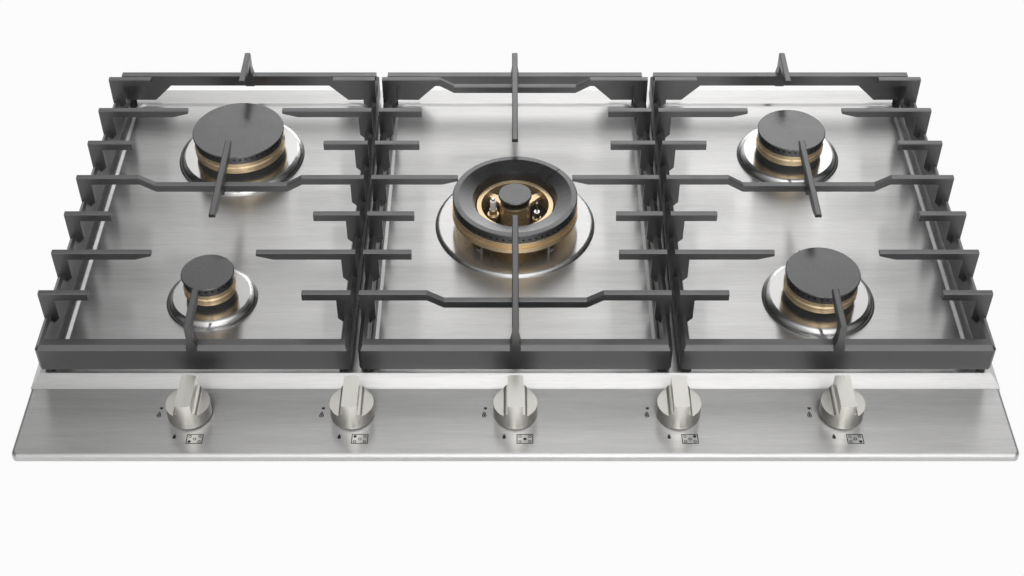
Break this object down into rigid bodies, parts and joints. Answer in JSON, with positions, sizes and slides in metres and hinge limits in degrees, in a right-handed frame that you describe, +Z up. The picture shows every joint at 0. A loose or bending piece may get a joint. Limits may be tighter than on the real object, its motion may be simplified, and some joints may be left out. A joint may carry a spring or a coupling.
{
  "type": "built-in gas cooktop",
  "caption": "Built-in gas cooktop: pressed steel top on a shallow tray, cast pan supports, brass burners with flat caps and push-and-turn knobs along the front.",
  "frame": {"origin": "middle of the tray's underside, at the bottom of the bounding box", "axes": "+X to the right as the cook stands, +Y towards the rear wall, +Z up"},
  "size_m": [0.87, 0.527, 0.1229],
  "materials": {
    "brushed_top": "brushed across",
    "galvanised_tray": "galvanised",
    "foam": "foam",
    "bright_steel": "bright",
    "dark_cup": "matt black",
    "ceramic": "glazed ceramic",
    "brass": "turned",
    "rubber": "matt",
    "rail_steel": "zinc plated",
    "pipe_aluminium": "drawn",
    "igniter_plastic": "matt",
    "cap_enamel": "matt enamel",
    "grid_enamel": "matt enamel",
    "knob_nickel": "satin nickel"
  },
  "bodies": {
    "hob": {"hob_top": "brushed_top", "tray": "galvanised_tray", "worktop_seal": "foam", "hold_down_clamps": "galvanised_tray", "clamp_screws": "bright_steel", "wok_cup": "dark_cup", "wok_legs": "bright_steel", "spark_electrodes": "ceramic", "flame_sensors": "bright_steel", "jets": "brass", "spindle_grommets": "rubber", "gas_rail": "rail_steel", "gas_inlet": "brass", "burner_pipes": "pipe_aluminium", "igniter": "igniter_plastic", "left_rear_cup": "dark_cup", "right_rear_cup": "dark_cup", "right_front_cup": "dark_cup", "left_front_cup": "dark_cup", "left_front_valve": "pipe_aluminium", "left_rear_valve": "pipe_aluminium", "wok_valve": "pipe_aluminium", "right_rear_valve": "pipe_aluminium", "right_front_valve": "pipe_aluminium"},
    "left_support": {"left_pan_support": "grid_enamel", "left_support_feet": "rubber"},
    "centre_support": {"centre_pan_support": "grid_enamel", "centre_support_feet": "rubber"},
    "right_support": {"right_pan_support": "grid_enamel", "right_support_feet": "rubber"},
    "left_rear_burner_head": {"left_rear_head": "brass"},
    "left_rear_burner_cap": {"left_rear_cap": "cap_enamel"},
    "right_rear_burner_head": {"right_rear_head": "brass"},
    "right_rear_burner_cap": {"right_rear_cap": "cap_enamel"},
    "right_front_burner_head": {"right_front_head": "brass"},
    "right_front_burner_cap": {"right_front_cap": "cap_enamel"},
    "left_front_burner_head": {"left_front_head": "brass"},
    "left_front_burner_cap": {"left_front_cap": "cap_enamel"},
    "wok_burner_body": {"wok_body": "brass"},
    "wok_burner_ring": {"wok_ring_cap": "cap_enamel"},
    "wok_burner_centre": {"wok_centre_cap": "cap_enamel"},
    "left_front_tap_plunger": {"left_front_plunger": "bright_steel"},
    "left_front_tap_knob": {"left_front_knob": "knob_nickel", "left_front_spindle": "bright_steel"},
    "left_rear_tap_plunger": {"left_rear_plunger": "bright_steel"},
    "left_rear_tap_knob": {"left_rear_knob": "knob_nickel", "left_rear_spindle": "bright_steel"},
    "wok_tap_plunger": {"wok_plunger": "bright_steel"},
    "wok_tap_knob": {"wok_knob": "knob_nickel", "wok_spindle": "bright_steel"},
    "right_rear_tap_plunger": {"right_rear_plunger": "bright_steel"},
    "right_rear_tap_knob": {"right_rear_knob": "knob_nickel", "right_rear_spindle": "bright_steel"},
    "right_front_tap_plunger": {"right_front_plunger": "bright_steel"},
    "right_front_tap_knob": {"right_front_knob": "knob_nickel", "right_front_spindle": "bright_steel"}
  },
  "joints": [
    {"name": "left_support_lift", "type": "slide", "parent": "hob", "child": "left_support", "axis": [0, 0, 1], "range_m": [0, 0.12]},
    {"name": "centre_support_lift", "type": "slide", "parent": "hob", "child": "centre_support", "axis": [0, 0, 1], "range_m": [0, 0.12]},
    {"name": "right_support_lift", "type": "slide", "parent": "hob", "child": "right_support", "axis": [0, 0, 1], "range_m": [0, 0.12]},
    {"name": "left_rear_head_lift", "type": "slide", "parent": "hob", "child": "left_rear_burner_head", "axis": [0, 0, 1], "range_m": [0, 0.04]},
    {"name": "left_rear_cap_lift", "type": "slide", "parent": "left_rear_burner_head", "child": "left_rear_burner_cap", "axis": [0, 0, 1], "range_m": [0, 0.03]},
    {"name": "right_rear_head_lift", "type": "slide", "parent": "hob", "child": "right_rear_burner_head", "axis": [0, 0, 1], "range_m": [0, 0.04]},
    {"name": "right_rear_cap_lift", "type": "slide", "parent": "right_rear_burner_head", "child": "right_rear_burner_cap", "axis": [0, 0, 1], "range_m": [0, 0.03]},
    {"name": "right_front_head_lift", "type": "slide", "parent": "hob", "child": "right_front_burner_head", "axis": [0, 0, 1], "range_m": [0, 0.04]},
    {"name": "right_front_cap_lift", "type": "slide", "parent": "right_front_burner_head", "child": "right_front_burner_cap", "axis": [0, 0, 1], "range_m": [0, 0.03]},
    {"name": "left_front_head_lift", "type": "slide", "parent": "hob", "child": "left_front_burner_head", "axis": [0, 0, 1], "range_m": [0, 0.04]},
    {"name": "left_front_cap_lift", "type": "slide", "parent": "left_front_burner_head", "child": "left_front_burner_cap", "axis": [0, 0, 1], "range_m": [0, 0.03]},
    {"name": "wok_body_lift", "type": "slide", "parent": "hob", "child": "wok_burner_body", "axis": [0, 0, 1], "range_m": [0, 0.03]},
    {"name": "wok_ring_cap_lift", "type": "slide", "parent": "wok_burner_body", "child": "wok_burner_ring", "axis": [0, 0, 1], "range_m": [0, 0.03]},
    {"name": "wok_centre_cap_lift", "type": "slide", "parent": "wok_burner_body", "child": "wok_burner_centre", "axis": [0, 0, 1], "range_m": [0, 0.03]},
    {"name": "left_front_knob_push", "type": "slide", "parent": "hob", "child": "left_front_tap_plunger", "axis": [0, 0, -1], "range_m": [0, 0.002], "stiffness_N_per_m": 2000},
    {"name": "left_front_knob_turn", "type": "hinge", "parent": "left_front_tap_plunger", "child": "left_front_tap_knob", "pos_m": [-0.287, -0.2165, 0.06], "axis": [0, 0, 1], "range_deg": [0, 165]},
    {"name": "left_rear_knob_push", "type": "slide", "parent": "hob", "child": "left_rear_tap_plunger", "axis": [0, 0, -1], "range_m": [0, 0.002], "stiffness_N_per_m": 2000},
    {"name": "left_rear_knob_turn", "type": "hinge", "parent": "left_rear_tap_plunger", "child": "left_rear_tap_knob", "pos_m": [-0.1435, -0.2165, 0.06], "axis": [0, 0, 1], "range_deg": [0, 165]},
    {"name": "wok_knob_push", "type": "slide", "parent": "hob", "child": "wok_tap_plunger", "axis": [0, 0, -1], "range_m": [0, 0.002], "stiffness_N_per_m": 2000},
    {"name": "wok_knob_turn", "type": "hinge", "parent": "wok_tap_plunger", "child": "wok_tap_knob", "pos_m": [0, -0.2165, 0.06], "axis": [0, 0, 1], "range_deg": [0, 165]},
    {"name": "right_rear_knob_push", "type": "slide", "parent": "hob", "child": "right_rear_tap_plunger", "axis": [0, 0, -1], "range_m": [0, 0.002], "stiffness_N_per_m": 2000},
    {"name": "right_rear_knob_turn", "type": "hinge", "parent": "right_rear_tap_plunger", "child": "right_rear_tap_knob", "pos_m": [0.1435, -0.2165, 0.06], "axis": [0, 0, 1], "range_deg": [0, 165]},
    {"name": "right_front_knob_push", "type": "slide", "parent": "hob", "child": "right_front_tap_plunger", "axis": [0, 0, -1], "range_m": [0, 0.002], "stiffness_N_per_m": 2000},
    {"name": "right_front_knob_turn", "type": "hinge", "parent": "right_front_tap_plunger", "child": "right_front_tap_knob", "pos_m": [0.287, -0.2165, 0.06], "axis": [0, 0, 1], "range_deg": [0, 165]}
  ],
  "couplings": [
    {"joint": "wok_body_lift", "follows": "centre_support_lift", "ratio": 0.25},
    {"joint": "wok_ring_cap_lift", "follows": "centre_support_lift", "ratio": 0.25},
    {"joint": "wok_centre_cap_lift", "follows": "centre_support_lift", "ratio": 0.25}
  ]
}
